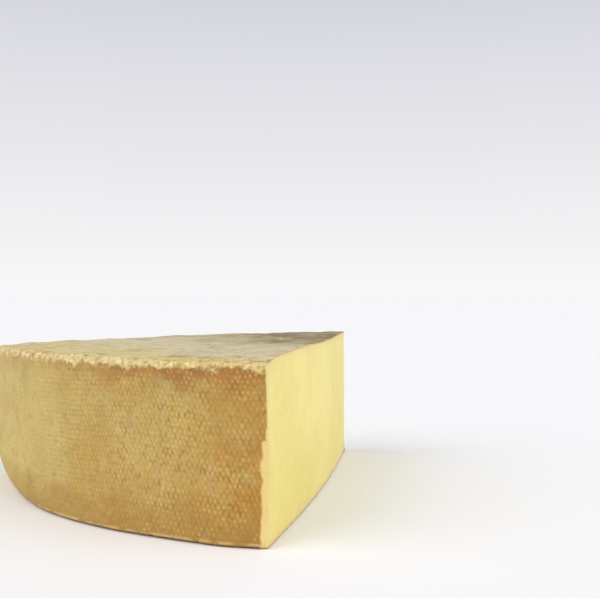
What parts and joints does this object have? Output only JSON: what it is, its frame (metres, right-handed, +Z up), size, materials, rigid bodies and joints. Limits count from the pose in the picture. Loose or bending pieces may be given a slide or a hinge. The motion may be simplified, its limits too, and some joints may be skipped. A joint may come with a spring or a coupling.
{
  "type": "cheese wedge",
  "caption": "Wedge cut from a large pressed hard-cheese wheel: cloth-marked hollow heel rind, greyish top rind and smooth pale yellow cut faces.",
  "frame": {"origin": "middle of the wedge's box, on the surface it stands on", "axes": "+Z up, +Y towards the thin edge that was the wheel's centre, -Y towards the rind of the heel, +X to the right of someone facing the heel"},
  "size_m": [0.3366, 0.3348, 0.12],
  "materials": {
    "cheese": "satin"
  },
  "bodies": {
    "root": {"cheese_wedge": "cheese"}
  },
  "joints": []
}
